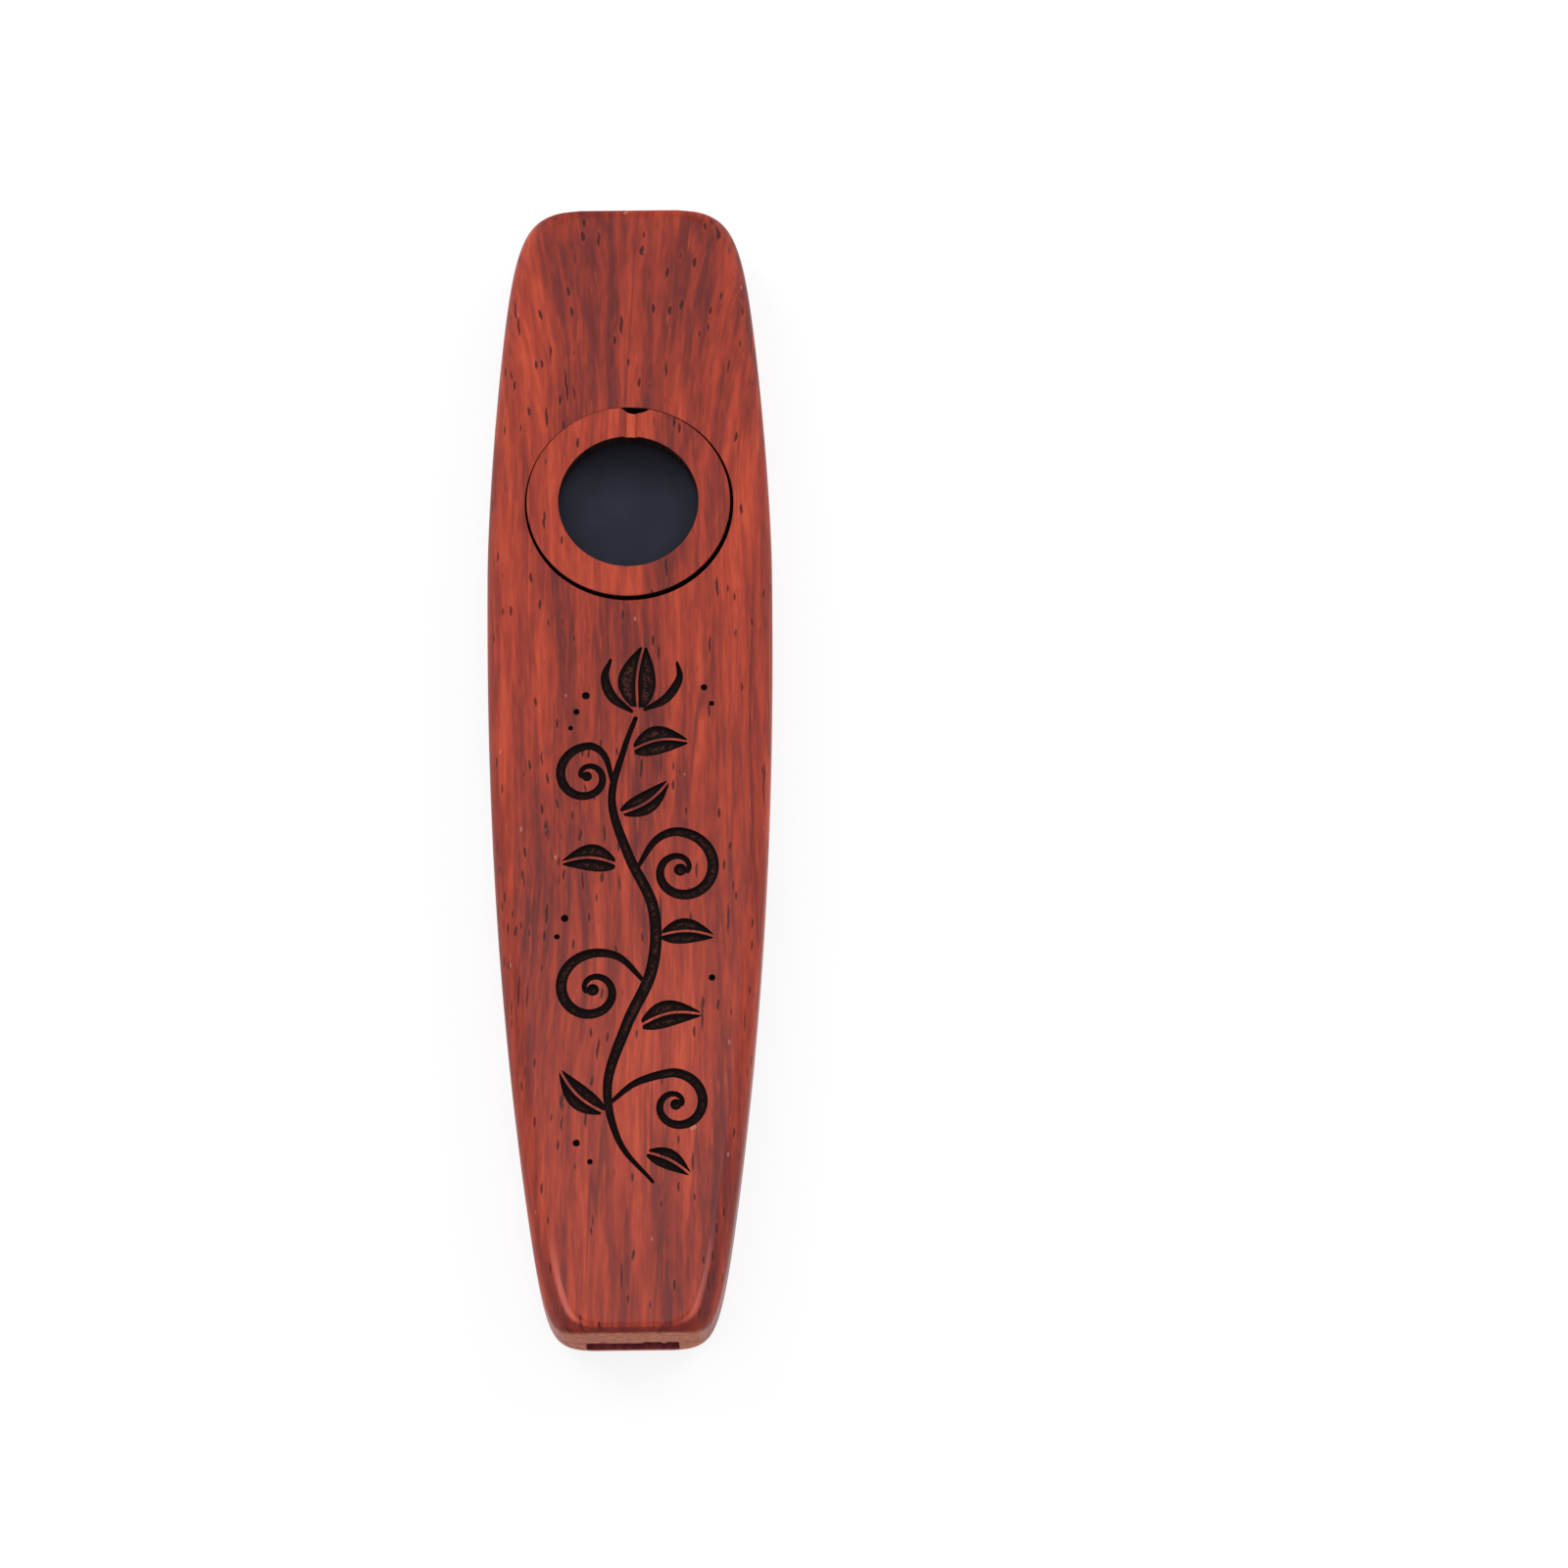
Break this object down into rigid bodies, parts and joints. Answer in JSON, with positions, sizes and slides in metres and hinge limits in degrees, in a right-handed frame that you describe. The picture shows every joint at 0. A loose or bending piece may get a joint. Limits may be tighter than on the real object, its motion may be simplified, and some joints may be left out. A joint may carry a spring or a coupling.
{
  "type": "kazoo",
  "caption": "Flat tapered wooden kazoo with an air channel between its glued boards and a lift-out ring that holds a dark membrane in a round seat.",
  "frame": {"origin": "middle of the flat back face", "axes": "+Z out of the engraved front face, +Y along the body towards the wide mouth end, +X to the right seen from the front"},
  "size_m": [0.0302, 0.125, 0.0084],
  "materials": {
    "front_wood": "satin",
    "back_wood": "satin",
    "ring_wood": "satin",
    "film": "smooth dark film",
    "film_rim": "matte",
    "magnet": "nickel plated"
  },
  "bodies": {
    "kazoo_body": {"front_board": "front_wood", "back_board": "back_wood", "seat_magnet_1": "magnet", "seat_magnet_2": "magnet", "seat_magnet_3": "magnet", "seat_magnet_4": "magnet"},
    "ring": {"clamp_ring": "ring_wood", "ring_magnet_1": "magnet", "ring_magnet_2": "magnet", "ring_magnet_3": "magnet", "ring_magnet_4": "magnet"},
    "membrane": {"membrane_film": "film", "membrane_rim": "film_rim"}
  },
  "joints": [
    {"name": "ring_lift", "type": "slide", "parent": "kazoo_body", "child": "ring", "axis": [0, 0, 1], "range_m": [0, 0.012]},
    {"name": "membrane_lift", "type": "slide", "parent": "kazoo_body", "child": "membrane", "axis": [0, 0, 1], "range_m": [0, 0.006]}
  ],
  "couplings": [
    {"joint": "membrane_lift", "follows": "ring_lift", "ratio": 0.5}
  ]
}
